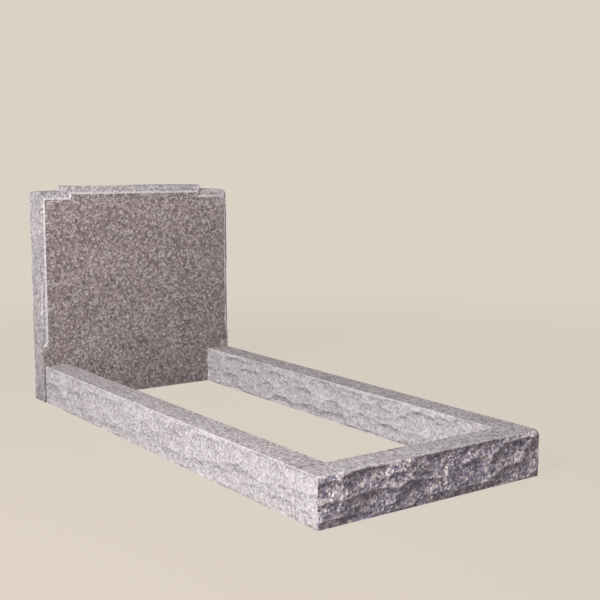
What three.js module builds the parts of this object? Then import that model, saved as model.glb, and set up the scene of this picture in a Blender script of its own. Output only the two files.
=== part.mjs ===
// Kerbed headstone in mottled grey granite. A slab with a stepped top stands on the ground,
// and three kerbs with rock-pitched faces frame the open grave bed in front of it.
// Millimetres, +Z up, +X to the right seen from the foot, +Y towards the headstone.
// The origin is on the ground in the middle of the footprint.
import * as THREE from 'three';
import { mergeVertices } from 'three/addons/utils/BufferGeometryUtils.js';

// Driving dimensions
const SET_LENGTH = 1981;
const HEADSTONE_WIDTH = 889;
const HEADSTONE_THICKNESS = 102;
const SHOULDER_HEIGHT = 868;
const CROWN_HEIGHT = 889;
const KERB_FRAME_WIDTH = 876;
const KERB_HEIGHT = 151;
const KERB_WIDTH = 102;
const JOINT_GAP = 1;

// Pitched margin round the headstone's polished face: it falls back a little from the face to
// the sides and the top, and runs out in a scooped stop above the kerbs. The stone is cut by hand,
// so the crown's reach from the middle and the margin's widths differ from left to right.
const MARGIN_DEPTH = 7;
const MARGIN_ON_TOP = 32;
const LEFT_HALF = { crownReach: 322, sideMargin: 22, riserMargin: 14, cornerRadius: 8 };
const RIGHT_HALF = { crownReach: 310, sideMargin: 15, riserMargin: 22, cornerRadius: 28 };
const STOP_BOTTOM = 226;
const STOP_TURN = 238;
const STOP_TOP = 260;

// Rock pitching: a face swells past its arrises and is broken into hollow scars, steeper above
// than below and sunk by different amounts. A scar leans by its slant.
const SWELL = 2;
const LARGE_SCAR = { size: 52, depth: 38, stretch: 2.6, slant: 0.45 };
const SMALL_SCAR = { size: 26, depth: 12, stretch: 1.9, slant: 0.7 };
const SCAR_STEEP = 2.2;
const SCAR_SINK = 0.35;
const SCAR_MEAN = 0.25;

// The kerbs' outer sides are pitched less deep than their other faces, and the headstone least of all
const OUTER_SIDE_ROUGHNESS = 0.6;
const HEADSTONE_ROUGHNESS = 0.3;

// Facets of the pitched faces
const KERB_FACET = 26;
const KERB_ROWS = 6;
const FACET_JITTER = 0.3;
const HEADSTONE_ROWS = 5;
const OUTLINE_STEPS = { foot: 7, stop: 3, side: 19, corner: 2, shoulder: 4, riser: 1, crown: 10 };

// One number for each pitched face, so that no two faces break alike, and two for the facets
const SEEDS = { left: 3, right: 11, leftInside: 19, rightInside: 27, front: 94, footInside: 43, slab: 51 };
const FACET_SEEDS = { slip: 1, lift: 2 };

// Multipliers that scatter whole numbers into fractions with no visible order
const SCATTER = { column: 127.1, row: 311.7, seed: 74.7, scale: 43758.5453 };

// Finishes: polished granite looks dark, and pitched or sawn granite looks pale
const POLISHED = { color: 0x877a79, roughness: 0.25, metalness: 0 };
const PITCHED = { color: 0xc3b9ba, roughness: 0.85, metalness: 0 };

// Places along the length, and the kerbs' outer sides and their faces along the grave bed
const FOOT_FRONT = -SET_LENGTH / 2;
const FOOT_BACK = FOOT_FRONT + KERB_WIDTH;
const HEADSTONE_BACK = SET_LENGTH / 2;
const HEADSTONE_FACE = HEADSTONE_BACK - HEADSTONE_THICKNESS;
const OUTER_X = KERB_FRAME_WIDTH / 2;
const BED_X = OUTER_X - KERB_WIDTH;

// Two points closer than this are the same point
const SAME_POINT = 0.01;

// Number from 0 to 1 that is always the same for the same cell and seed
function chance(column, row, seed) {
  const angle = column * SCATTER.column + row * SCATTER.row + seed * SCATTER.seed;
  const wave = Math.sin(angle) * SCATTER.scale;
  return wave - Math.floor(wave);
}

// Height of a broken face: every scar is a bowl, and the bowls meet in sharp ledges
function scarHeight(along, up, scar, seed) {
  const u = (along - scar.slant * up) / (scar.size * scar.stretch);
  const v = up / scar.size;
  let lowest = Infinity;
  for (let column = Math.floor(u) - 1; column <= Math.floor(u) + 1; column++) {
    for (let row = Math.floor(v) - 1; row <= Math.floor(v) + 1; row++) {
      const du = u - column - chance(column, row, seed);
      const dv = v - row - chance(column, row, seed + 1);
      const steep = dv > 0 ? SCAR_STEEP : 1 / SCAR_STEEP;
      const sink = SCAR_SINK * chance(column, row, seed + 2);
      lowest = Math.min(lowest, du * du + steep * dv * dv + sink);
    }
  }
  return scar.depth * (lowest / (1 + lowest) - SCAR_MEAN);
}

// How far a pitched face of some breadth stands out past its two arrises, where it stays at 0
function pitchedRelief(along, across, breadth, seed) {
  const share = across / breadth;
  if (share <= 0 || share >= 1) {
    return 0;
  }
  const swell = 4 * SWELL * share * (1 - share);
  const large = scarHeight(along, across, LARGE_SCAR, seed);
  const small = scarHeight(along, across, SMALL_SCAR, seed + 4);
  return swell + large + small;
}

// Share of a facet by which its corner is shifted, so that the facets aren't a regular grid
function jitter(along, height, seed) {
  return FACET_JITTER * (2 * chance(Math.round(along), Math.round(height), seed) - 1);
}

// Moves every vertex of a geometry and joins the ones that meet
function reshape(geometry, move) {
  geometry.deleteAttribute('normal');
  geometry.deleteAttribute('uv');
  const position = geometry.getAttribute('position');
  const point = new THREE.Vector3();
  for (let index = 0; index < position.count; index++) {
    point.fromBufferAttribute(position, index);
    move(point);
    position.setXYZ(index, point.x, point.y, point.z);
  }
  const joined = mergeVertices(geometry, SAME_POINT);
  joined.computeVertexNormals();
  return joined;
}

// A kerb: a block with a flat top and underside. A face that has a seed is pitched, and the
// others are sawn. The two upright arrises at the straight end stay straight. The back is pitched
// only within backReach of the middle of the frame.
function kerbGeometry(low, high, straightEnd, seeds, backReach = 0) {
  const size = high.clone().sub(low);
  const stepsX = seeds.front ? Math.round(size.x / KERB_FACET) : 1;
  const stepsY = Math.round(size.y / KERB_FACET);
  const middle = low.clone().add(high).multiplyScalar(0.5);
  const block = new THREE.BoxGeometry(size.x, size.y, KERB_HEIGHT, stepsX, stepsY, KERB_ROWS);
  block.translate(middle.x, middle.y, KERB_HEIGHT / 2);
  const meets = (a, b) => Math.abs(a - b) < SAME_POINT;
  const relief = (along, height, seed) => (seed ? pitchedRelief(along, height, KERB_HEIGHT, seed) : 0);
  return reshape(block, (point) => {
    const { x, y, z } = point;
    const onSide = meets(x, low.x) || meets(x, high.x);
    const onEnd = meets(y, low.y) || meets(y, high.y);
    const inHeight = z > SAME_POINT && z < KERB_HEIGHT - SAME_POINT;
    if (onSide && meets(y, straightEnd)) {
      return;
    }
    if (inHeight && onSide !== onEnd) {
      const slip = jitter(x + y, z, FACET_SEEDS.slip);
      point.x += onEnd ? slip * size.x / stepsX : 0;
      point.y += onSide ? slip * size.y / stepsY : 0;
      point.z += jitter(x + y, z, FACET_SEEDS.lift) * KERB_HEIGHT / KERB_ROWS;
    }
    const sideRoughness = meets(Math.abs(x), OUTER_X) ? OUTER_SIDE_ROUGHNESS : 1;
    const across = new THREE.Vector3();
    if (meets(x, low.x)) {
      across.x -= sideRoughness * relief(-point.y, point.z, seeds.left);
    }
    if (meets(x, high.x)) {
      across.x += sideRoughness * relief(-point.y, point.z, seeds.right);
    }
    if (meets(y, low.y)) {
      across.y -= relief(point.x, point.z, seeds.front);
    }
    if (meets(y, high.y) && Math.abs(point.x) < backReach) {
      across.y += relief(point.x, point.z, seeds.back);
    }
    point.add(across);
  });
}

// Closed body lofted through rings of equal count, with a fan of facets over each end ring
function loftGeometry(rings, firstMiddle, lastMiddle) {
  const count = rings[0].length;
  const points = [...rings.flat(), firstMiddle, lastMiddle];
  const first = points.length - 2;
  const last = points.length - 1;
  const lastRing = (rings.length - 1) * count;
  const triangles = [];
  for (let step = 0; step < count; step++) {
    const next = (step + 1) % count;
    triangles.push(first, step, next);
    triangles.push(last, lastRing + next, lastRing + step);
    for (let ring = 0; ring < lastRing; ring += count) {
      triangles.push(ring + step, ring + count + step, ring + next);
      triangles.push(ring + next, ring + count + step, ring + count + next);
    }
  }
  const geometry = new THREE.BufferGeometry().setFromPoints(points);
  geometry.setIndex(triangles);
  geometry.computeVertexNormals();
  return geometry;
}

// Half of the headstone's front outline, on the right, from the foot of its side to the middle
// of the crown. At a share of 0 it is the full outline, and at 1 the edge of the polished face.
function halfOutline(share, { crownReach, sideMargin, riserMargin, cornerRadius }) {
  const side = HEADSTONE_WIDTH / 2;
  const inner = side - share * sideMargin;
  const riser = crownReach - share * riserMargin;
  const shoulder = SHOULDER_HEIGHT - share * MARGIN_ON_TOP;
  const crown = CROWN_HEIGHT - share * MARGIN_ON_TOP;
  const path = new THREE.Path();
  path.moveTo(side, 0);
  path.lineTo(side, STOP_BOTTOM);
  path.quadraticCurveTo(inner, STOP_TURN, inner, STOP_TOP);
  path.lineTo(inner, shoulder - cornerRadius);
  path.quadraticCurveTo(inner, shoulder, inner - cornerRadius, shoulder);
  path.lineTo(riser, shoulder);
  path.lineTo(riser, crown);
  path.lineTo(0, crown);
  const steps = Object.values(OUTLINE_STEPS);
  return path.curves.flatMap((curve, index) => curve.getPoints(steps[index]).slice(0, -1));
}

// The whole outline at a depth behind the face, anticlockwise seen from the front
function outlineRing(share, depth) {
  const right = halfOutline(share, RIGHT_HALF);
  const left = halfOutline(share, LEFT_HALF).map((point) => new THREE.Vector2(-point.x, point.y));
  const crownMiddle = new THREE.Vector2(0, CROWN_HEIGHT - share * MARGIN_ON_TOP);
  const outline = [...right, crownMiddle, ...left.reverse()];
  let along = 0;
  return outline.map((point, index) => {
    const before = outline[Math.max(index - 1, 0)];
    const after = outline[Math.min(index + 1, outline.length - 1)];
    along += point.distanceTo(before);
    const outward = new THREE.Vector2(after.y - before.y, before.x - after.x).normalize();
    const rough = HEADSTONE_ROUGHNESS * pitchedRelief(along, depth, HEADSTONE_THICKNESS, SEEDS.slab);
    const stand = point.y > 0 ? rough : 0;
    const x = point.x + stand * outward.x;
    const z = point.y + stand * outward.y;
    return new THREE.Vector3(x, HEADSTONE_FACE + depth, z);
  });
}

// The headstone: a polished face, the pitched margin round it, pitched sides and top, a sawn back
function headstoneGeometry() {
  const rings = [outlineRing(1, 0)];
  for (let row = 0; row <= HEADSTONE_ROWS; row++) {
    const behindMargin = (HEADSTONE_THICKNESS - MARGIN_DEPTH) * row / HEADSTONE_ROWS;
    rings.push(outlineRing(0, MARGIN_DEPTH + behindMargin));
  }
  const faceMiddle = new THREE.Vector3(0, HEADSTONE_FACE, SHOULDER_HEIGHT / 2);
  const backMiddle = new THREE.Vector3(0, HEADSTONE_BACK, SHOULDER_HEIGHT / 2);
  return loftGeometry(rings, faceMiddle, backMiddle);
}

// A named piece of granite
function granitePiece(name, geometry, finish) {
  const piece = new THREE.Mesh(geometry, new THREE.MeshStandardMaterial(finish));
  piece.name = name;
  return piece;
}

// The side kerbs' two ends
const sideLow = FOOT_BACK + JOINT_GAP;
const sideHigh = HEADSTONE_FACE - JOINT_GAP;

// The foot kerb's back is pitched from two facets clear of the side kerbs
const footBackReach = BED_X - 2 * KERB_FACET;

const leftKerb = kerbGeometry(
  new THREE.Vector3(-OUTER_X, sideLow, 0),
  new THREE.Vector3(-BED_X, sideHigh, KERB_HEIGHT),
  sideHigh,
  { left: SEEDS.left, right: SEEDS.leftInside },
);
const rightKerb = kerbGeometry(
  new THREE.Vector3(BED_X, sideLow, 0),
  new THREE.Vector3(OUTER_X, sideHigh, KERB_HEIGHT),
  sideHigh,
  { left: SEEDS.rightInside, right: SEEDS.right },
);
const footKerb = kerbGeometry(
  new THREE.Vector3(-OUTER_X, FOOT_FRONT, 0),
  new THREE.Vector3(OUTER_X, FOOT_BACK, KERB_HEIGHT),
  FOOT_FRONT,
  { left: SEEDS.left, right: SEEDS.right, front: SEEDS.front, back: SEEDS.footInside },
  footBackReach,
);

const memorial = new THREE.Group();
memorial.add(
  granitePiece('headstone', headstoneGeometry(), POLISHED),
  granitePiece('left_kerb', leftKerb, PITCHED),
  granitePiece('right_kerb', rightKerb, PITCHED),
  granitePiece('foot_kerb', footKerb, PITCHED),
);

export default memorial;
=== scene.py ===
# Kerbed headstone in mottled grey granite: the polished, rubbed, pitched, split, tooled and sawn
# surfaces of its four stones, on a plain floor in a studio. The stones are shaped in millimetres.
import math
from typing import NamedTuple

import bmesh
import bpy
import numpy as np
from mathutils import Matrix, Vector


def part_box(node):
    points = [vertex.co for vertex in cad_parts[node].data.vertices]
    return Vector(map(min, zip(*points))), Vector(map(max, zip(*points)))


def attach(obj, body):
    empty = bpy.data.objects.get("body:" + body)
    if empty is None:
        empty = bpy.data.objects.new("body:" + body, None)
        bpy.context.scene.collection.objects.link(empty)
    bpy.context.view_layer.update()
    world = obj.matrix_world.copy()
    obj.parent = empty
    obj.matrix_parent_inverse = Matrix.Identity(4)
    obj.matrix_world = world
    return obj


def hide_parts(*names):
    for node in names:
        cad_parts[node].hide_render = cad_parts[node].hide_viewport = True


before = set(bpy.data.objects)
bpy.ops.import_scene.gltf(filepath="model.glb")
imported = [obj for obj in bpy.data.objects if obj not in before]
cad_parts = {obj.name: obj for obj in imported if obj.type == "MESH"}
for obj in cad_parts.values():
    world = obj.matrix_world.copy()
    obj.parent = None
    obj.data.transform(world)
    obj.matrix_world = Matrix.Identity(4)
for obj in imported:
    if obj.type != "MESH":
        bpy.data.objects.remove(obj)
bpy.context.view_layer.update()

MILLIMETRE = 0.001

# Sizes of the stones
HEADSTONE_WIDTH = 889
SHOULDER_HEIGHT = 868
CROWN_HEIGHT = 889
KERB_FRAME_WIDTH = 876
KERB_WIDTH = 102
JOINT_GAP = 1
ARRIS = 2.5
ARRIS_SEGMENTS = 2


def corners(node):
    """A node's lowest and highest corner in millimetres."""
    low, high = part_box(node)
    return low / MILLIMETRE, high / MILLIMETRE


# Planes that the frame gives, and the ones a kerb's width away from them
HEADSTONE_FACE = corners("headstone")[0].y
HEADSTONE_THICKNESS = corners("headstone")[1].y - HEADSTONE_FACE
SIDE_KERB_FOOT = corners("left_kerb")[0].y
SIDE_KERB_HEAD = corners("left_kerb")[1].y
KERB_HEIGHT = corners("left_kerb")[1].z
FOOT_BACK = SIDE_KERB_FOOT - JOINT_GAP
FOOT_FRONT = FOOT_BACK - KERB_WIDTH
OUTER_X = KERB_FRAME_WIDTH / 2
BED_X = OUTER_X - KERB_WIDTH


# The headstone is cut by hand, so its crown and its pitched margin differ from left to right
class Half(NamedTuple):
    """Half of the headstone: how far its crown reaches from the middle, the widths of its margin beside
    the face and on the crown's riser, and the radius of its corner."""
    crown_reach: float
    side_margin: float
    riser_margin: float
    corner_radius: float


LEFT_HALF = Half(322, 22, 14, 8)
RIGHT_HALF = Half(310, 15, 22, 28)

# Margin round the polished face: its width on top, how far it falls back and how hollow that curve
# is, the bruised arris beside the face, whitened as a painted highlight, and the heights of the stop
# that ends it on each side
MARGIN_ON_TOP = 32
MARGIN_DEPTH = 7
MARGIN_CURVE = 0.3
RIGHT_MARGIN_CURVE = 2.5
FACE_ARRIS = 7
STOP_BOTTOM = 226
STOP_TURN = 238
STOP_TOP = 260


# Rock pitching: a face swells past its arrises and is broken into hollow scars
class Scar(NamedTuple):
    """A kind of scar: its height and depth, how much longer than high it is, and its lean."""
    size: float
    depth: float
    stretch: float
    slant: float


LARGE_SCAR = Scar(52, 38, 2.6, 0.45)
SMALL_SCAR = Scar(26, 12, 1.9, 0.7)
FINE_SCAR = Scar(14, 6, 1.5, 0.6)
CHIP = Scar(7, 2.4, 1.3, 0.3)
NICK = Scar(12, 6, 1.5, 0)

# A scar's bowl is steeper above its middle, sinks by chance, and is measured from a mean level
SCAR_STEEP = 2.2
SCAR_SINK = 0.35
SCAR_MEAN = 0.25

# How far a face swells, and the share of the full relief on the smoother faces
SWELL = 2
OUTER_SIDE_ROUGHNESS = 0.6
HEADSTONE_ROUGHNESS = 0.3
MARGIN_ROUGHNESS = 0.25

# The relief fades over a run towards an arris or a corner, and some play of it is left there
ARRIS_RUN = 14
HEADSTONE_ARRIS_RUN = 7
ARRIS_PLAY = 1.2
CORNER_PLAY = 3

# Wear of the foot kerb's front corners, and how far it reaches
LEFT_CORNER_WEAR = 3
RIGHT_CORNER_WEAR = 5
CORNER_REACH = 18

# A ridge is measured against what lies this far round it, over a range of heights
RIDGE_REACH = 5
RIDGE_HEIGHT = 2.4

# A ledge runs where two large scars are nearly level, and is whitened where it stands out this far,
# partly as crushing by the chisel and partly as a painted highlight on its lit rim
LEDGE = 0.14
LEDGE_STAND = 5

# One number for each pitched face, so that no two faces break alike
SEEDS = {
    "left": 3,
    "right": 11,
    "left_inside": 19,
    "right_inside": 27,
    "front": 94,
    "foot_inside": 43,
    "slab": 51,
}
SCAR_SEEDS = {LARGE_SCAR: 0, SMALL_SCAR: 4, FINE_SCAR: 101, CHIP: 211}

# Multipliers that scatter whole numbers into fractions with no visible order
SCATTER_COLUMN = 127.1
SCATTER_ROW = 311.7
SCATTER_SEED = 74.7
SCATTER_SCALE = 43758.5453

# Lengths of the mesh's facets, and the number of rings of them in the headstone's margin
KERB_FACET = 3.2
FOOT_FACET = 2.8
HEADSTONE_FACET = 4
MARGIN_RINGS = 6

# The foot kerb's back is pitched this far from its middle, clear of the side kerbs
FOOT_BACK_REACH = 297

# Order of a stone's finishes. The headstone's fine one is polished and its pitched one tooled, and a
# kerb's fine one is rubbed. The last is the foot kerb's front, whose colours paint in its shade.
FINE, PITCHED, SAWN, SHADED_SPLIT = range(4)

# Axes across the grave, along it and up, and faces of a kerb as the axis they look along and which way
X_AXIS, Y_AXIS, Z_AXIS = range(3)
TOP = (Z_AXIS, 1)
FOOT_END = (Y_AXIS, -1)

# Vertex attribute that is 1 on a ridge, 0.5 on an even face and 0 in a hollow
RIDGE = "ridge"
EVEN = 0.5
# Ridge values on the kerbs' top arrises, which whiten them as a painted highlight
SIDE_ARRIS_HIGHLIGHT = 0.8
FRONT_ARRIS_HIGHLIGHT = 1

# Places closer than this are the same
SAME_POINT = 0.01


def chance(column, row, seed):
    """Number from 0 to 1 that is always the same for the same cell and seed."""
    wave = np.sin(column * SCATTER_COLUMN + row * SCATTER_ROW + seed * SCATTER_SEED) * SCATTER_SCALE
    return wave - np.floor(wave)


def ease(share):
    """Share from 0 to 1 that starts and ends level."""
    share = np.clip(share, 0, 1)
    return share * share * (3 - 2 * share)


def scar_levels(along, up, scar, seed):
    """Levels of the lowest and the second lowest bowl at each point of a face. A bowl is steeper above
    its middle than below."""
    columns_along = (along - scar.slant * up) / (scar.size * scar.stretch)
    rows_up = up / scar.size
    lowest = np.full(np.shape(columns_along), np.inf)
    second = lowest
    for next_column in (-1, 0, 1):
        for next_row in (-1, 0, 1):
            column = np.floor(columns_along) + next_column
            row = np.floor(rows_up) + next_row
            beside = columns_along - column - chance(column, row, seed)
            above = rows_up - row - chance(column, row, seed + 1)
            steep = np.where(above > 0, SCAR_STEEP, 1 / SCAR_STEEP)
            sink = SCAR_SINK * chance(column, row, seed + 2)
            level = beside * beside + steep * above * above + sink
            second = np.minimum(second, np.maximum(lowest, level))
            lowest = np.minimum(lowest, level)
    return lowest, second


def scar_height(along, up, scar, seed):
    """Height of a face broken by one kind of scar: bowls that meet in sharp ledges."""
    lowest, _ = scar_levels(along, up, scar, seed)
    return scar.depth * (lowest / (1 + lowest) - SCAR_MEAN)


def pitched_relief(along, across, breadth, arris_run, seed):
    """How far a pitched face of some breadth stands out past its two arrises."""
    share = np.clip(across / breadth, 0, 1)
    swell = 4 * SWELL * share * (1 - share)
    broken = sum(scar_height(along, across, scar, seed + shift) for scar, shift in SCAR_SEEDS.items())
    from_arris = np.minimum(across, breadth - across) + ARRIS_PLAY
    return swell + ease(from_arris / arris_run) * broken


def relief_and_ridge(along, across, breadth, arris_run, seed):
    """Relief of a pitched face, and how far each point stands out from what is round it."""
    here = pitched_relief(along, across, breadth, arris_run, seed)
    round_it = [
        pitched_relief(along + step * RIDGE_REACH, across + rise * RIDGE_REACH, breadth, arris_run, seed)
        for step, rise in ((-1, 0), (1, 0), (0, -1), (0, 1))]
    ridge = EVEN + (here - sum(round_it) / len(round_it)) / RIDGE_HEIGHT
    lowest, second = scar_levels(along, across, LARGE_SCAR, seed + SCAR_SEEDS[LARGE_SCAR])
    # Ledges that stand out are whitened, partly as a painted highlight
    on_ledge = np.clip(1 - (second - lowest) / LEDGE, 0, 1) * np.clip(here / LEDGE_STAND, 0, 1)
    return here, np.clip(np.maximum(ridge, EVEN + (1 - EVEN) * on_ledge), 0, 1)


def hex_colour(code):
    """An sRGB colour such as "9a8f8e" as linear red, green, blue and alpha."""
    shares = [int(code[place:place + 2], 16) / 255 for place in (0, 2, 4)]
    linear = [share / 12.92 if share <= 0.04045 else ((share + 0.055) / 1.055) ** 2.4 for share in shares]
    return (*linear, 1)


def add_node(tree, kind, sockets, stops=(), **settings):
    """Adds a node with its settings, a ramp's colour stops, and a value or link for each socket."""
    node = tree.nodes.new(kind)
    for name, value in settings.items():
        setattr(node, name, value)
    for name, value in sockets.items():
        if isinstance(value, bpy.types.NodeSocket):
            tree.links.new(value, node.inputs[name])
        else:
            node.inputs[name].default_value = value
    for place, (share, code) in enumerate(stops):
        if place >= len(node.color_ramp.elements):
            node.color_ramp.elements.new(share)
        node.color_ramp.elements[place].position = share
        node.color_ramp.elements[place].color = hex_colour(code)
    return node


# Sockets of a Mix node that is set to colours
MIX_FACTOR, MIX_FIRST, MIX_SECOND, MIX_RESULT = 0, 6, 7, 2

# Pattern sizes. Real crystals are 2 to 5 mm and biotite flakes 1 to 2 mm, which would melt into
# an even grey at this distance, so they are drawn two to three times as coarse.
CRYSTAL = 9
GRAIN = 5.5
FLAKE = 6.5
CLOUD = 160
CLOUD_DETAIL = 3

# The crystals' edges wander: by how much, and over what distance
WANDER = 2.5
WANDER_WIDTH = 6
WANDER_DETAIL = 1

# Mean of a noise or cell colour
MEAN_COLOUR = (0.5, 0.5, 0.5)


class Granite(NamedTuple):
    """What a finish shows of the granite: its minerals' colours from dark to pale, the share of fine
    grains among its crystals, the colour and share of its mica flakes, and the share of large clouds."""
    minerals: list
    grain_share: float
    flake_colour: str
    flake_share: float
    cloud_share: float


def pattern_scale(size):
    """Scale of a pattern whose features are so many millimetres wide."""
    return 1 / (size * MILLIMETRE)


def granite_colour(tree, granite):
    """Colour socket of granite: crystals of several minerals, finer grains and dark flakes."""
    place = add_node(tree, "ShaderNodeTexCoord", {}).outputs["Object"]
    wander = add_node(
        tree, "ShaderNodeTexNoise",
        {"Vector": place, "Scale": pattern_scale(WANDER_WIDTH), "Detail": WANDER_DETAIL})
    centred = add_node(
        tree, "ShaderNodeVectorMath", {0: wander.outputs["Color"], 1: MEAN_COLOUR}, operation="SUBTRACT")
    bent = add_node(
        tree, "ShaderNodeVectorMath",
        {0: centred.outputs[0], 1: (WANDER * MILLIMETRE,) * 3, 2: place}, operation="MULTIPLY_ADD")
    crystals, grains, flakes = (
        add_node(tree, "ShaderNodeTexVoronoi", {"Vector": bent.outputs[0], "Scale": pattern_scale(size)})
        for size in (CRYSTAL, GRAIN, FLAKE))
    mixed = add_node(
        tree, "ShaderNodeMix",
        {
            MIX_FACTOR: granite.grain_share,
            MIX_FIRST: crystals.outputs["Color"],
            MIX_SECOND: grains.outputs["Color"],
        },
        data_type="RGBA")
    clouds = add_node(
        tree, "ShaderNodeTexNoise",
        {"Vector": place, "Scale": pattern_scale(CLOUD), "Detail": CLOUD_DETAIL})
    clouded = add_node(
        tree, "ShaderNodeMix",
        {
            MIX_FACTOR: granite.cloud_share,
            MIX_FIRST: mixed.outputs[MIX_RESULT],
            MIX_SECOND: clouds.outputs["Color"],
        },
        data_type="RGBA")
    mineral = add_node(
        tree, "ShaderNodeValToRGB", {"Fac": clouded.outputs[MIX_RESULT]}, stops=granite.minerals)
    is_flake = add_node(
        tree, "ShaderNodeMath",
        {0: flakes.outputs["Color"], 1: 1 - granite.flake_share}, operation="GREATER_THAN")
    flecked = add_node(
        tree, "ShaderNodeMix",
        {
            MIX_FACTOR: is_flake.outputs[0],
            MIX_FIRST: mineral.outputs["Color"],
            MIX_SECOND: hex_colour(granite.flake_colour),
        },
        data_type="RGBA")
    return flecked.outputs[MIX_RESULT]


# Painted shade on the headstone: darker towards the ground up to a height in metres, for light that
# falls off downward, and darkest in a band at its foot, for the shade where it meets the ground.
LOW_SHADE_HEIGHT = 0.85
FOOT_SHADE_HEIGHT = 0.06
FOOT_SHADE_GREY = "dadada"
LOW_SHADE_GREY = "e6e6e6"
UNSHADED_GREY = "ffffff"


def draw_ground_shade(tree, colour):
    """Colour socket of a stone with painted shade: darker towards the ground."""
    place = add_node(tree, "ShaderNodeTexCoord", {}).outputs["Object"]
    height = add_node(tree, "ShaderNodeSeparateXYZ", {0: place}).outputs["Z"]
    share = add_node(tree, "ShaderNodeMapRange", {"Value": height, "From Max": LOW_SHADE_HEIGHT})
    shade = add_node(
        tree, "ShaderNodeValToRGB", {"Fac": share.outputs["Result"]},
        stops=[(0, FOOT_SHADE_GREY), (FOOT_SHADE_HEIGHT / LOW_SHADE_HEIGHT, LOW_SHADE_GREY), (1, UNSHADED_GREY)])
    # Painted shade: the colour is multiplied by a grey that darkens towards the ground
    shade_to_ground = add_node(
        tree, "ShaderNodeMix", {MIX_FACTOR: 1, MIX_FIRST: colour, MIX_SECOND: shade.outputs["Color"]},
        data_type="RGBA", blend_type="MULTIPLY")
    return shade_to_ground.outputs[MIX_RESULT]


def new_material(name):
    """An empty node material and its surface shader."""
    material = bpy.data.materials.new(name)
    material.use_nodes = True
    return material, material.node_tree.nodes["Principled BSDF"]


GRANITE_IOR = 1.54
POLISHED_ROUGHNESS = 0.38
RUBBED_ROUGHNESS = 0.65
BROKEN_ROUGHNESS = 0.85
SAWN_ROUGHNESS = 0.75


def new_granite(name, roughness):
    """A granite material without its colour, and its surface shader."""
    material, shader = new_material(name)
    shader.inputs["Roughness"].default_value = roughness
    shader.inputs["IOR"].default_value = GRANITE_IOR
    return material, shader


def polished_granite():
    """Granite ground and polished: every crystal shows in its full, deep colour under a low gloss, with
    painted shade towards the ground.
    """
    granite = Granite(
        minerals=[(0.28, "5b5051"), (0.42, "837776"), (0.56, "968c8b"), (0.7, "beb5b6")],
        grain_share=0.45, flake_colour="645a64", flake_share=0.18, cloud_share=0.2)
    material, shader = new_granite("polished_granite", POLISHED_ROUGHNESS)
    tree = material.node_tree
    tree.links.new(draw_ground_shade(tree, granite_colour(tree, granite)), shader.inputs["Base Color"])
    return material


def rubbed_granite():
    """Granite rubbed smooth but not polished: fine scratches scatter the light, so it is pale and matt."""
    granite = Granite(
        minerals=[(0.28, "7a7375"), (0.44, "a39d9f"), (0.57, "b2adaf"), (0.72, "d1cdce")],
        grain_share=0.5, flake_colour="888086", flake_share=0.2, cloud_share=0.25)
    material, shader = new_granite("rubbed_granite", RUBBED_ROUGHNESS)
    tree = material.node_tree
    tree.links.new(granite_colour(tree, granite), shader.inputs["Base Color"])
    return material


# Grit of a broken surface: its width, its depth and how far its crystals tilt
GRIT = 7
GRIT_DETAIL = 3
PITCHED_GRIT_DEPTH = 4
PITCHED_TILT = 0.5
TOOLED_GRIT_DEPTH = 1.5
TOOLED_TILT = 0.25

# Painted shade and highlight of a broken surface: tints by the ridge attribute, which darken its
# hollows as painted shade, and the share of white on a full ridge, which stands partly for crystals
# the chisel crushes and partly for a painted highlight
HOLLOW_SHADE_TINT = "cdc8cf"
SHALLOW_SHADE_TINT = "f8f7f8"
SHALLOW = 0.4
RIDGE_TINT = "ffffff"
CRUSH_AND_HIGHLIGHT_FROM = 0.6
CRUSH_AND_HIGHLIGHT_COLOUR = "d8d3d6"
PITCHED_BRUISE_AND_HIGHLIGHT = 0.35
SHADED_SPLIT_BRUISE_AND_HIGHLIGHT = 0.8
TOOLED_BRUISE_AND_HIGHLIGHT = 0.5


def bruise_shade_and_highlight_colour(tree, colour, whitest):
    """Colour socket of a broken stone: painted shade in its hollows, and whiter on its ridges, partly where
    the chisel crushes crystals and partly as a painted highlight.
    """
    ridge = add_node(tree, "ShaderNodeAttribute", {}, attribute_name=RIDGE).outputs["Fac"]
    # Painted shade: the hollows are multiplied by a darker, mauve tint
    tint = add_node(
        tree, "ShaderNodeValToRGB", {"Fac": ridge},
        stops=[(0, HOLLOW_SHADE_TINT), (SHALLOW, SHALLOW_SHADE_TINT), (1, RIDGE_TINT)])
    dimmed = add_node(
        tree, "ShaderNodeMix", {MIX_FACTOR: 1, MIX_FIRST: colour, MIX_SECOND: tint.outputs["Color"]},
        data_type="RGBA", blend_type="MULTIPLY")
    # Ridges are mixed towards white, partly for crystals the chisel crushes and partly as a painted
    # highlight
    crush_and_highlight = add_node(
        tree, "ShaderNodeMapRange", {"Value": ridge, "From Min": CRUSH_AND_HIGHLIGHT_FROM, "To Max": whitest})
    whitened = add_node(
        tree, "ShaderNodeMix",
        {
            MIX_FACTOR: crush_and_highlight.outputs["Result"],
            MIX_FIRST: dimmed.outputs[MIX_RESULT],
            MIX_SECOND: hex_colour(CRUSH_AND_HIGHLIGHT_COLOUR),
        },
        data_type="RGBA")
    return whitened.outputs[MIX_RESULT]


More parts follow.
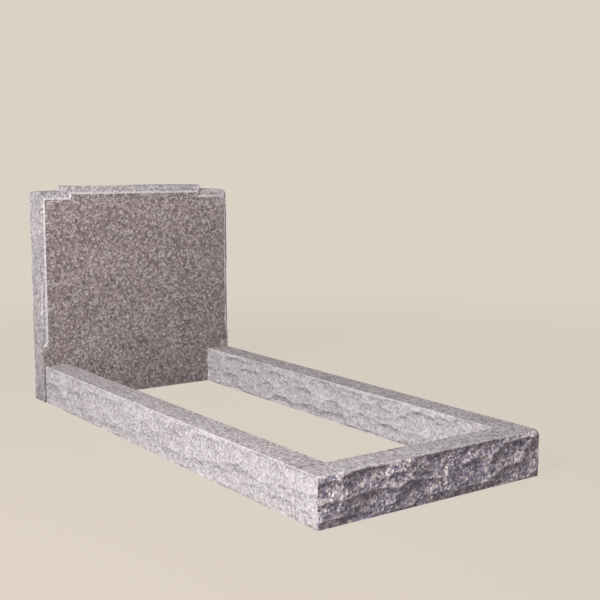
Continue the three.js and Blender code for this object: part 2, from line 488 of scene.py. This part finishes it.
def gritty_normal(tree, depth, tilt):
    """Normal socket of a rough surface: grit too fine for the mesh, and crystals at chance tilts."""
    place = add_node(tree, "ShaderNodeTexCoord", {}).outputs["Object"]
    grit = add_node(
        tree, "ShaderNodeTexNoise", {"Vector": place, "Scale": pattern_scale(GRIT), "Detail": GRIT_DETAIL})
    bump = add_node(
        tree, "ShaderNodeBump",
        {"Strength": 1, "Distance": depth * MILLIMETRE, "Height": grit.outputs["Fac"]})
    crystals = add_node(tree, "ShaderNodeTexVoronoi", {"Vector": place, "Scale": pattern_scale(GRIT)})
    centred = add_node(
        tree, "ShaderNodeVectorMath", {0: crystals.outputs["Color"], 1: MEAN_COLOUR}, operation="SUBTRACT")
    tilted = add_node(
        tree, "ShaderNodeVectorMath", {0: centred.outputs[0], 1: (tilt,) * 3, 2: bump.outputs[0]},
        operation="MULTIPLY_ADD")
    return add_node(tree, "ShaderNodeVectorMath", {0: tilted.outputs[0]}, operation="NORMALIZE").outputs[0]


def broken_granite(name, granite, whitest, grit_depth, tilt, shade_to_ground=False):
    """A granite material with bruises and grit from the chisel, painted shade in its hollows and a painted
    highlight on its ridges, and painted shade towards the ground on the headstone.
    """
    material, shader = new_granite(name, BROKEN_ROUGHNESS)
    tree = material.node_tree
    colour = bruise_shade_and_highlight_colour(tree, granite_colour(tree, granite), whitest)
    if shade_to_ground:
        colour = draw_ground_shade(tree, colour)
    tree.links.new(colour, shader.inputs["Base Color"])
    tree.links.new(gritty_normal(tree, grit_depth, tilt), shader.inputs["Normal"])
    return material


def pitched_granite():
    """Granite broken with a pitching chisel: crystals the chisel crushes make it pale, and it is whitest
    on the ridges, partly as a painted highlight.
    """
    granite = Granite(
        minerals=[(0.26, "958f91"), (0.45, "aaa6a8"), (0.58, "b3b0b3"), (0.74, "c2c0c3")],
        grain_share=0.5, flake_colour="979194", flake_share=0.15, cloud_share=0.25)
    return broken_granite("pitched_granite", granite, PITCHED_BRUISE_AND_HIGHLIGHT, PITCHED_GRIT_DEPTH, PITCHED_TILT)


def shaded_split_granite():
    """Granite split off in large flakes, for the foot kerb's front, where the chisel crushes less of it, so
    dark mica and pale feldspar show; its violet darks and strong contrast paint in the shade and
    grazing light on that face.
    """
    granite = Granite(
        minerals=[(0.3, "777285"), (0.48, "948e9f"), (0.56, "b7b0b5"), (0.68, "e2d9d5")],
        grain_share=0.4, flake_colour="6b667b", flake_share=0.15, cloud_share=0.25)
    return broken_granite("shaded_split_granite", granite, SHADED_SPLIT_BRUISE_AND_HIGHLIGHT, PITCHED_GRIT_DEPTH, PITCHED_TILT)


def tooled_granite():
    """Granite dressed with a fine chisel: even small bruises, greyer than broken stone, and with painted
    shade towards the ground.
    """
    granite = Granite(
        minerals=[(0.26, "7a7679"), (0.45, "a29ea1"), (0.58, "b3afb2"), (0.74, "d6d2d5")],
        grain_share=0.5, flake_colour="8a868c", flake_share=0.2, cloud_share=0.25)
    return broken_granite(
        "tooled_granite", granite, TOOLED_BRUISE_AND_HIGHLIGHT, TOOLED_GRIT_DEPTH, TOOLED_TILT, shade_to_ground=True)


# Marks of the saw: their spacing and depth, how strongly they show and how far they stray
SAW_MARK = 9
SAW_MARK_DEPTH = 0.4
SAW_MARK_STRENGTH = 0.35
SAW_STRAY = 1.5
SAW_STRAY_DETAIL = 2


def sawn_granite():
    """Granite as it leaves the saw: matt mid-grey, with faint level lines from the blade."""
    granite = Granite(
        minerals=[(0.26, "82787a"), (0.45, "9a9092"), (0.58, "a59c9e"), (0.74, "b8b0b2")],
        grain_share=0.55, flake_colour="7d7278", flake_share=0.22, cloud_share=0.3)
    material, shader = new_granite("sawn_granite", SAWN_ROUGHNESS)
    tree = material.node_tree
    tree.links.new(granite_colour(tree, granite), shader.inputs["Base Color"])
    place = add_node(tree, "ShaderNodeTexCoord", {}).outputs["Object"]
    marks = add_node(
        tree, "ShaderNodeTexWave",
        {
            "Vector": place,
            "Scale": pattern_scale(SAW_MARK) / math.tau,
            "Distortion": SAW_STRAY,
            "Detail": SAW_STRAY_DETAIL,
        },
        wave_type="BANDS", bands_direction="Z")
    bump = add_node(
        tree, "ShaderNodeBump",
        {
            "Strength": SAW_MARK_STRENGTH,
            "Distance": SAW_MARK_DEPTH * MILLIMETRE,
            "Height": marks.outputs["Fac"],
        })
    tree.links.new(bump.outputs[0], shader.inputs["Normal"])
    return material


# Edges sharper than this stay crisp
CRISP_FROM = math.radians(50)


def set_stone(bm, node, finishes):
    """Makes a shaped stone an object in metres that stands for its node."""
    bmesh.ops.recalc_face_normals(bm, faces=bm.faces)
    bmesh.ops.scale(bm, vec=(MILLIMETRE,) * 3, verts=bm.verts)
    bm.normal_update()
    for face in bm.faces:
        face.smooth = True
    for edge in bm.edges:
        same_finish = len({face.material_index for face in edge.link_faces}) == 1
        edge.smooth = same_finish and edge.calc_face_angle() < CRISP_FROM
    mesh = bpy.data.meshes.new(f"dressed_{node}")
    bm.to_mesh(mesh)
    bm.free()
    for finish in finishes:
        mesh.materials.append(finish)
    stone = bpy.data.objects.new(f"dressed_{node}", mesh)
    bpy.context.scene.collection.objects.link(stone)
    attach(stone, "root")
    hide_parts(node)


class PitchedFace(NamedTuple):
    """A kerb's pitched face: the axis it looks along, its plane there, its way out and its seed. It
    is flat up to its first place along the kerb and from its last. Its roughness is a share of the
    full relief."""
    axis: int
    plane: float
    outward: int
    seed: int
    first: float = -math.inf
    last: float = math.inf
    finish: int = PITCHED
    roughness: float = 1


# An edge runs along an axis if at least this share of its length does
ALONG_AXIS = 0.99


def cut_along(bm, axis, facet):
    """Cuts every edge that runs along an axis into lengths of about one facet."""
    edges = []
    for edge in bm.edges:
        way = (edge.verts[0].co - edge.verts[1].co).normalized()
        if abs(way[axis]) > ALONG_AXIS:
            edges.append(edge)
    longest = max(edge.calc_length() for edge in edges)
    bmesh.ops.subdivide_edges(bm, edges=edges, cuts=round(longest / facet) - 1)


def break_faces(bm, faces):
    """Breaks a kerb's flat faces into scars, marks how far each point stands out, and marks its top arris
    strips to be whitened as a painted highlight.
    """
    ridge_layer = bm.verts.layers.float[RIDGE]
    flat = np.array([vert.co for vert in bm.verts])
    broken = flat.copy()
    ridges = np.array([vert[ridge_layer] for vert in bm.verts])
    for face in faces:
        on_face = np.abs(flat[:, face.axis] - face.plane) < SAME_POINT
        along = flat[on_face, 1 - face.axis]
        to_the_right = along if face.axis == Y_AXIS else -along
        up = flat[on_face, Z_AXIS]
        relief, ridge = relief_and_ridge(to_the_right, up, KERB_HEIGHT, ARRIS_RUN, face.seed)
        from_end = np.minimum(along - face.first, face.last - along)
        roughness = face.roughness * ease((from_end + CORNER_PLAY) / ARRIS_RUN)
        broken[on_face, face.axis] += face.outward * relief * roughness
        ridges[on_face] = np.maximum(ridge, ridges[on_face])
        on_rim = np.abs(flat[:, face.axis] - face.plane) < ARRIS + SAME_POINT
        on_rim &= flat[:, Z_AXIS] > KERB_HEIGHT - ARRIS - SAME_POINT
        nick = np.maximum(-scar_height(flat[on_rim, 1 - face.axis], 0, NICK, face.seed), 0)
        broken[on_rim, face.axis] -= face.outward * nick
        # Painted highlight: the arris strip is whitened, most on the foot kerb's front
        ridges[on_rim] = SIDE_ARRIS_HIGHLIGHT if face.axis == X_AXIS else FRONT_ARRIS_HIGHLIGHT
    for vert, place, ridge in zip(bm.verts, broken, ridges):
        vert.co = place
        vert[ridge_layer] = ridge


def wear_corner(bm, corner, inward, wear):
    """Knocks off a kerb's top corner."""
    for vert in bm.verts:
        nearness = 1 - (vert.co - corner).length / CORNER_REACH
        vert.co += inward.normalized() * wear * float(ease(nearness))


def kerb_block(low, high, pitched_faces, highlit_end):
    """A kerb's block, still flat, each face with its finish. Its top has an arris along the pitched
    faces, and along one end if that end is to show the painted arris highlight."""
    bm = bmesh.new()
    bm.verts.layers.float.new(RIDGE)
    block = Matrix.Translation((low + high) / 2) @ Matrix.Diagonal((*(high - low), 1))
    bmesh.ops.create_cube(bm, size=1, matrix=block)
    finish_of = {(face.axis, face.outward): face.finish for face in pitched_faces}
    finish_of[TOP] = FINE
    beside_arris = set()
    bm.normal_update()
    for face in bm.faces:
        axis = max(range(3), key=lambda place: abs(face.normal[place]))
        way = (axis, round(face.normal[axis]))
        face.material_index = finish_of.get(way, SAWN)
        if way in finish_of or way == highlit_end:
            beside_arris.add(face)
    rim = [
        edge for edge in bm.edges
        if min(vert.co.z for vert in edge.verts) > KERB_HEIGHT - SAME_POINT
        and beside_arris.issuperset(edge.link_faces)]
    arris = bmesh.ops.bevel(
        bm, geom=rim, offset=ARRIS, segments=ARRIS_SEGMENTS, profile=0.5, affect="EDGES", material=-1)
    for face in arris["faces"]:
        face.material_index = PITCHED
    return bm


def kerb(node, low, high, pitched_faces, facet, finishes, highlit_end=None, worn_corners=()):
    """A kerb: a block with a rubbed top, pitched faces, and sawn ends and underside."""
    bm = kerb_block(low, high, pitched_faces, highlit_end)
    level_axes = {1 - face.axis for face in pitched_faces}
    for axis in (*sorted(level_axes), Z_AXIS):
        cut_along(bm, axis, facet)
    ridge_layer = bm.verts.layers.float[RIDGE]
    # Painted highlight: vertices along the top are marked so that the arris strips are whitened
    for vert in bm.verts:
        vert[ridge_layer] = SIDE_ARRIS_HIGHLIGHT if vert.co.z > KERB_HEIGHT - ARRIS - SAME_POINT else 0
    break_faces(bm, pitched_faces)
    for corner, inward, wear in worn_corners:
        wear_corner(bm, corner, inward, wear)
    set_stone(bm, node, finishes)


def half_outline(share, half):
    """Half of the headstone's outline, on the right, as stretches of start, bend and end. A straight
    stretch has its bend in its middle. At a share of 0 it is the full outline, and at 1 the edge of
    the polished face."""
    side = HEADSTONE_WIDTH / 2
    inner = side - share * half.side_margin
    riser = half.crown_reach - share * half.riser_margin
    shoulder = SHOULDER_HEIGHT - share * MARGIN_ON_TOP
    crown = CROWN_HEIGHT - share * MARGIN_ON_TOP
    foot = np.array((side, 0))
    stop_bottom = np.array((side, STOP_BOTTOM))
    stop_top = np.array((inner, STOP_TOP))
    corner_start = np.array((inner, shoulder - half.corner_radius))
    corner_end = np.array((inner - half.corner_radius, shoulder))
    riser_foot = np.array((riser, shoulder))
    riser_head = np.array((riser, crown))
    middle = np.array((0, crown))
    return [
        (foot, (foot + stop_bottom) / 2, stop_bottom),
        (stop_bottom, np.array((inner, STOP_TURN)), stop_top),
        (stop_top, (stop_top + corner_start) / 2, corner_start),
        (corner_start, np.array((inner, shoulder)), corner_end),
        (corner_end, (corner_end + riser_foot) / 2, riser_foot),
        (riser_foot, (riser_foot + riser_head) / 2, riser_head),
        (riser_head, (riser_head + middle) / 2, middle),
    ]


def half_points(share, half):
    """Points along half an outline, as many at every share as the full outline needs."""
    points = []
    stretches = zip(half_outline(share, half), half_outline(0, half))
    for (start, bend, end), (full_start, _, full_end) in stretches:
        steps = max(round(np.linalg.norm(full_end - full_start) / HEADSTONE_FACET), 1)
        for step in range(steps):
            part = step / steps
            points.append((1 - part) ** 2 * start + 2 * part * (1 - part) * bend + part ** 2 * end)
    return np.array(points)


def outline_points(share):
    """The headstone's whole outline, anticlockwise seen from the front, with its lengths and ways out."""
    right = half_points(share, RIGHT_HALF)
    left = half_points(share, LEFT_HALF)[::-1] * (-1, 1)
    crown_middle = np.array([(0, CROWN_HEIGHT - share * MARGIN_ON_TOP)])
    points = np.concatenate([right, crown_middle, left])
    steps = np.diff(points, axis=0)
    along = np.concatenate([[0], np.cumsum(np.linalg.norm(steps, axis=1))])
    before = np.concatenate([points[:1], points[:-1]])
    after = np.concatenate([points[1:], points[-1:]])
    outward = np.stack([after[:, 1] - before[:, 1], before[:, 0] - after[:, 0]], axis=1)
    outward /= np.linalg.norm(outward, axis=1, keepdims=True)
    return points, along, outward


def side_ring(depth):
    """Places and ridges of the headstone's outline on its pitched sides, at a depth behind the face."""
    points, along, outward = outline_points(0)
    across = np.full(len(along), depth)
    relief, ridge = relief_and_ridge(along, across, HEADSTONE_THICKNESS, HEADSTONE_ARRIS_RUN, SEEDS["slab"])
    on_ground = points[:, 1] < SAME_POINT
    points = points + outward * np.where(on_ground, 0, HEADSTONE_ROUGHNESS * relief)[:, None]
    return [(x, HEADSTONE_FACE + depth, z) for x, z in points], ridge


def margin_width():
    """Width of the margin at every point of the headstone's outline: 0 below its two stops."""
    return np.linalg.norm(outline_points(1)[0] - outline_points(0)[0], axis=1)


def margin_ring(share):
    """Places and ridges of a ring in the margin. Its share is an array with one value for each point,
    from 0 on the outer edge to 1 on the polished face."""
    outer, along, outward = outline_points(0)
    face, _, _ = outline_points(1)
    broken_outer, _ = side_ring(MARGIN_DEPTH)
    shift = np.array(broken_outer)[:, (0, 2)] - outer
    across = (1 - share) * MARGIN_ON_TOP
    relief, ridge = relief_and_ridge(along, across, MARGIN_ON_TOP, HEADSTONE_ARRIS_RUN, SEEDS["slab"])
    curve = MARGIN_CURVE + (RIGHT_MARGIN_CURVE - MARGIN_CURVE) * ease(outward[:, 0])
    depth = MARGIN_DEPTH * (1 - share) ** curve - MARGIN_ROUGHNESS * relief * (share < 1)
    nick = np.minimum(scar_height(along, 0, NICK, SEEDS["slab"]), 0) * ease(margin_width() / FACE_ARRIS)
    points = outer + share[:, None] * (face - outer) + (1 - share)[:, None] * shift
    points += outward * (share * nick)[:, None]
    return [(x, HEADSTONE_FACE + back, z) for (x, z), back in zip(points, depth)], ridge


def extrude_ring(bm, ring, places, ridges, finish):
    """Extrudes a ring of the headstone's surface to the next ring's places."""
    pairs = zip(ring, ring[1:] + ring[:1])
    edges = [bm.edges.get(pair) for pair in pairs]
    made = bmesh.ops.extrude_edge_only(bm, edges=edges)["geom"]
    new = {item for item in made if isinstance(item, bmesh.types.BMVert)}
    ridge_layer = bm.verts.layers.float[RIDGE]
    next_ring = []
    for vert, place, ridge in zip(ring, places, ridges):
        follower = next(edge.other_vert(vert) for edge in vert.link_edges if edge.other_vert(vert) in new)
        follower.co = place
        follower[ridge_layer] = ridge
        next_ring.append(follower)
    for item in made:
        if isinstance(item, bmesh.types.BMFace):
            on_ground = max(vert.co.z for vert in item.verts) < SAME_POINT
            item.material_index = SAWN if on_ground else finish
    return next_ring


def headstone(finishes):
    """The headstone: a polished face, an arris beside it whitened as a painted highlight, a tooled margin
    round it, tooled sides and top, and a sawn back."""
    bm = bmesh.new()
    ridge_layer = bm.verts.layers.float.new(RIDGE)
    width = margin_width()
    # Painted highlight: the strip along the polished face's edge is whitened through the ridge attribute
    arris_highlight = EVEN + (1 - EVEN) * ease(width / FACE_ARRIS)
    places, _ = margin_ring(np.ones(len(width)))
    ring = [bm.verts.new(place) for place in places]
    for vert, ridge in zip(ring, arris_highlight):
        vert[ridge_layer] = ridge
    bm.faces.new(ring).material_index = FINE
    arris_share = np.clip(1 - FACE_ARRIS / np.maximum(width, SAME_POINT), 0, 1)
    places, _ = margin_ring(arris_share)
    ring = extrude_ring(bm, ring, places, arris_highlight, PITCHED)
    for step in range(1, MARGIN_RINGS):
        places, ridges = margin_ring(arris_share * (1 - step / MARGIN_RINGS))
        ring = extrude_ring(bm, ring, places, ridges, PITCHED)
    rows = round((HEADSTONE_THICKNESS - MARGIN_DEPTH) / HEADSTONE_FACET)
    for row in range(rows + 1):
        places, ridges = side_ring(MARGIN_DEPTH + (HEADSTONE_THICKNESS - MARGIN_DEPTH) * row / rows)
        ring = extrude_ring(bm, ring, places, ridges, PITCHED)
    bm.faces.new(ring).material_index = SAWN
    # Below its stops the margin has no width, so its rings meet there and are joined
    bmesh.ops.remove_doubles(bm, verts=bm.verts, dist=SAME_POINT)
    set_stone(bm, "headstone", finishes)


def grave_kerbs(finishes):
    """The two side kerbs and the foot kerb round the grave bed."""
    left_side = PitchedFace(
        X_AXIS, -OUTER_X, -1, SEEDS["left"], FOOT_FRONT, SIDE_KERB_HEAD, roughness=OUTER_SIDE_ROUGHNESS)
    right_side = PitchedFace(
        X_AXIS, OUTER_X, 1, SEEDS["right"], FOOT_FRONT, SIDE_KERB_HEAD, roughness=OUTER_SIDE_ROUGHNESS)
    kerb(
        "left_kerb",
        Vector((-OUTER_X, SIDE_KERB_FOOT, 0)), Vector((-BED_X, SIDE_KERB_HEAD, KERB_HEIGHT)),
        [left_side, PitchedFace(X_AXIS, -BED_X, 1, SEEDS["left_inside"], last=SIDE_KERB_HEAD)],
        KERB_FACET, finishes)
    kerb(
        "right_kerb",
        Vector((BED_X, SIDE_KERB_FOOT, 0)), Vector((OUTER_X, SIDE_KERB_HEAD, KERB_HEIGHT)),
        [PitchedFace(X_AXIS, BED_X, -1, SEEDS["right_inside"], last=SIDE_KERB_HEAD), right_side],
        KERB_FACET, finishes, highlit_end=FOOT_END)
    kerb(
        "foot_kerb",
        Vector((-OUTER_X, FOOT_FRONT, 0)), Vector((OUTER_X, FOOT_BACK, KERB_HEIGHT)),
        [
            left_side,
            right_side,
            PitchedFace(Y_AXIS, FOOT_FRONT, -1, SEEDS["front"], -OUTER_X, OUTER_X, SHADED_SPLIT),
            PitchedFace(Y_AXIS, FOOT_BACK, 1, SEEDS["foot_inside"], -FOOT_BACK_REACH, FOOT_BACK_REACH),
        ],
        FOOT_FACET, finishes,
        worn_corners=[
            (Vector((-OUTER_X, FOOT_FRONT, KERB_HEIGHT)), Vector((1, 1, -1)), LEFT_CORNER_WEAR),
            (Vector((OUTER_X, FOOT_FRONT, KERB_HEIGHT)), Vector((-1, 1, -1)), RIGHT_CORNER_WEAR),
        ])


# Camera in metres and degrees, worked out from the edges that run along the grave and across it
CAMERA_PLACE = (-2.07533, -3.17677, 0.98987)
CAMERA_YAW = 35.793
CAMERA_PITCH = -7.485
CAMERA_ROLL = 0.149
CAMERA_LENS = 62.88
CAMERA_SENSOR = 36


def camera():
    """The viewpoint: a little above the headstone, off the foot's left corner."""
    turn = Matrix.Rotation(math.radians(-CAMERA_YAW), 4, "Z")
    tilt = Matrix.Rotation(math.radians(90 + CAMERA_PITCH), 4, "X")
    roll = Matrix.Rotation(math.radians(CAMERA_ROLL), 4, "Z")
    data = bpy.data.cameras.new("camera")
    data.sensor_width = CAMERA_SENSOR
    data.lens = CAMERA_LENS
    viewpoint = bpy.data.objects.new("camera", data)
    viewpoint.matrix_world = Matrix.Translation(CAMERA_PLACE) @ turn @ tilt @ roll
    bpy.context.scene.collection.objects.link(viewpoint)
    bpy.context.scene.camera = viewpoint


# Key light, in metres and watts
KEY_PLACE = (-3.7, -1.6, 2.5)
KEY_AIM = (0, 0, 0.2)
KEY_SIZE = 1.6
KEY_POWER = 312
KEY_COLOUR = "fefbf8"

# Colours of the backdrop, and the heights between them as the sine of the angle above level
BACKDROP_COLOUR = "dcd1c5"
OVERHEAD_COLOUR = "77747c"
FILL_COLOUR = "6d6775"
OVERHEAD_FROM = math.sin(math.radians(26))
BACKDROP_TOP = math.sin(math.radians(12))
FLOOR_LINE = -0.04
FILL_FROM = -0.12

# Light from the board behind: its colour, its strength, and how far in from its edge that is full
BOUNCE_COLOUR = "fff6ee"
BOUNCE_POWER = 1.6
BOUNCE_EDGE = 0.4

# Floor, in metres. From near to far its paper turns black and its glow full.
FLOOR_RADIUS = 40
FLOOR_SEGMENTS = 96
FLOOR_DROP = 0.0005
FLOOR_PAPER = "413e39"
FLOOR_FAR_PAPER = "000000"
FLOOR_GLOW = 0.9
FLOOR_NEAR = 1.6
FLOOR_FAR = 5


def key_light():
    """A large soft lamp, high on the left."""
    data = bpy.data.lights.new("key_light", "AREA")
    data.size = KEY_SIZE
    data.energy = KEY_POWER
    data.color = hex_colour(KEY_COLOUR)[:3]
    lamp = bpy.data.objects.new("key_light", data)
    lamp.location = KEY_PLACE
    lamp.rotation_euler = (Vector(KEY_AIM) - Vector(KEY_PLACE)).to_track_quat("-Z", "Y").to_euler()
    bpy.context.scene.collection.objects.link(lamp)


def backdrop():
    """A pale studio wall all round, a dimmer ceiling, and light that bounces up from a bright board on
    the floor behind the object, on its right."""
    world = bpy.data.worlds.new("backdrop")
    world.use_nodes = True
    tree = world.node_tree
    way = add_node(tree, "ShaderNodeTexCoord", {}).outputs["Generated"]
    to_right, to_back, to_top = add_node(tree, "ShaderNodeSeparateXYZ", {0: way}).outputs
    share = add_node(tree, "ShaderNodeMapRange", {"Value": to_top, "From Min": -1})
    wall = add_node(
        tree, "ShaderNodeValToRGB", {"Fac": share.outputs["Result"]},
        stops=[
            ((1 + FILL_FROM) / 2, FILL_COLOUR),
            ((1 + FLOOR_LINE) / 2, BACKDROP_COLOUR),
            ((1 + BACKDROP_TOP) / 2, BACKDROP_COLOUR),
            ((1 + OVERHEAD_FROM) / 2, OVERHEAD_COLOUR),
        ])
    behind_right = add_node(tree, "ShaderNodeMath", {0: to_right, 1: to_back}, operation="MINIMUM")
    towards_board = add_node(
        tree, "ShaderNodeMapRange",
        {"Value": behind_right.outputs[0], "From Max": BOUNCE_EDGE, "To Max": BOUNCE_POWER},
        interpolation_type="SMOOTHSTEP")
    below = add_node(
        tree, "ShaderNodeMapRange", {"Value": to_top, "From Min": FLOOR_LINE, "From Max": FILL_FROM})
    bounce = add_node(
        tree, "ShaderNodeMath",
        {0: towards_board.outputs["Result"], 1: below.outputs["Result"]}, operation="MULTIPLY")
    board = add_node(
        tree, "ShaderNodeVectorMath",
        {0: hex_colour(BOUNCE_COLOUR)[:3], "Scale": bounce.outputs[0]}, operation="SCALE")
    light = add_node(
        tree, "ShaderNodeVectorMath", {0: wall.outputs["Color"], 1: board.outputs[0]}, operation="ADD")
    tree.links.new(light.outputs[0], tree.nodes["Background"].inputs["Color"])
    bpy.context.scene.world = world


def floor():
    """A pale paper floor that glows a little, and turns to the backdrop's even colour far away."""
    bm = bmesh.new()
    bmesh.ops.create_circle(bm, cap_ends=True, segments=FLOOR_SEGMENTS, radius=FLOOR_RADIUS)
    bmesh.ops.translate(bm, vec=(0, 0, -FLOOR_DROP), verts=bm.verts)
    mesh = bpy.data.meshes.new("floor")
    bm.to_mesh(mesh)
    bm.free()
    material, shader = new_material("floor_paper")
    tree = material.node_tree
    place = add_node(tree, "ShaderNodeTexCoord", {}).outputs["Object"]
    distance = add_node(tree, "ShaderNodeVectorMath", {0: place}, operation="LENGTH").outputs["Value"]
    far = add_node(
        tree, "ShaderNodeMapRange", {"Value": distance, "From Min": FLOOR_NEAR, "From Max": FLOOR_FAR},
        interpolation_type="SMOOTHSTEP").outputs["Result"]
    paper = add_node(
        tree, "ShaderNodeMix",
        {
            MIX_FACTOR: far,
            MIX_FIRST: hex_colour(FLOOR_PAPER),
            MIX_SECOND: hex_colour(FLOOR_FAR_PAPER),
        },
        data_type="RGBA")
    glow = add_node(
        tree, "ShaderNodeMapRange", {"Value": far, "To Min": FLOOR_GLOW, "To Max": 1}).outputs["Result"]
    tree.links.new(paper.outputs[MIX_RESULT], shader.inputs["Base Color"])
    tree.links.new(glow, shader.inputs["Emission Strength"])
    shader.inputs["Emission Color"].default_value = hex_colour(BACKDROP_COLOUR)
    shader.inputs["Specular IOR Level"].default_value = 0
    shader.inputs["Roughness"].default_value = 1
    mesh.materials.append(material)
    ground = bpy.data.objects.new("floor", mesh)
    bpy.context.scene.collection.objects.link(ground)
    ground.visible_diffuse = False


camera()
sawn_stone = sawn_granite()
grave_kerbs([rubbed_granite(), pitched_granite(), sawn_stone, shaded_split_granite()])
headstone([polished_granite(), tooled_granite(), sawn_stone])
key_light()
backdrop()
floor()
bpy.context.scene.view_settings.view_transform = "Standard"
